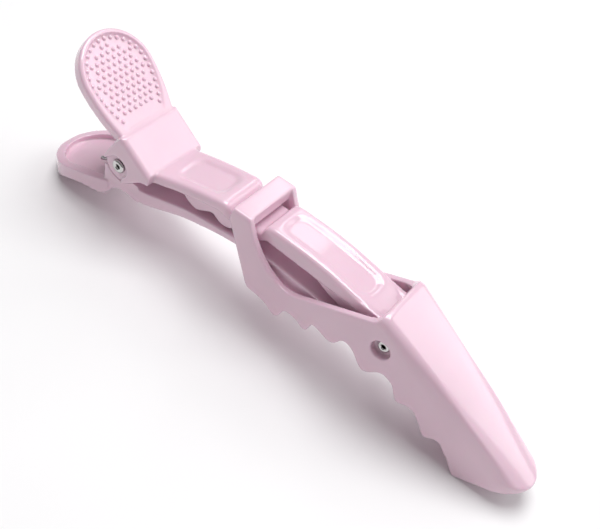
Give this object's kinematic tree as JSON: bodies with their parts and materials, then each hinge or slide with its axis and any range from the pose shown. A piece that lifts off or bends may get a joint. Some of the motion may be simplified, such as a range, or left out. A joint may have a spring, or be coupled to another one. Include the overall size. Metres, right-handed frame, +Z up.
{
  "type": "sectioning clip",
  "caption": "Double-hinged sectioning clip: sprung thumb levers on a rivet and a rocking wavy-edged jaw that grips a section of hair.",
  "frame": {"origin": "middle of the clip's box in plan, on the surface that it lies on, belly down", "axes": "+X from the thumb pads to the tip of the jaw, +Y to the left, +Z up; both rivets lie along Y"},
  "size_m": [0.109, 0.0162, 0.033],
  "materials": {
    "pink_plastic": "glossy moulded, pale pink",
    "rivet_steel": "bright nickel plate",
    "spring_steel": "bright drawn wire"
  },
  "bodies": {
    "lower": {"lower_lever": "pink_plastic", "torsion_spring": "spring_steel"},
    "upper": {"upper_lever": "pink_plastic", "main_rivet": "rivet_steel"},
    "jaw": {"jaw": "pink_plastic", "jaw_rivet": "rivet_steel"}
  },
  "joints": [
    {"name": "main_hinge", "type": "hinge", "parent": "lower", "child": "upper", "pos_m": [-0.03529, 0, 0.01485], "axis": [0, -1, 0], "range_deg": [0, 40], "stiffness_Nm_per_rad": 0.15, "springref_deg": -25.78, "deforming": ["torsion_spring"]},
    {"name": "jaw_hinge", "type": "hinge", "parent": "upper", "child": "jaw", "pos_m": [0.02266, 0, 0.01704], "axis": [0, 1, 0], "range_deg": [0, 24]}
  ],
  "couplings": [
    {"joint": "jaw_hinge", "follows": "main_hinge", "ratio": 0.6}
  ]
}
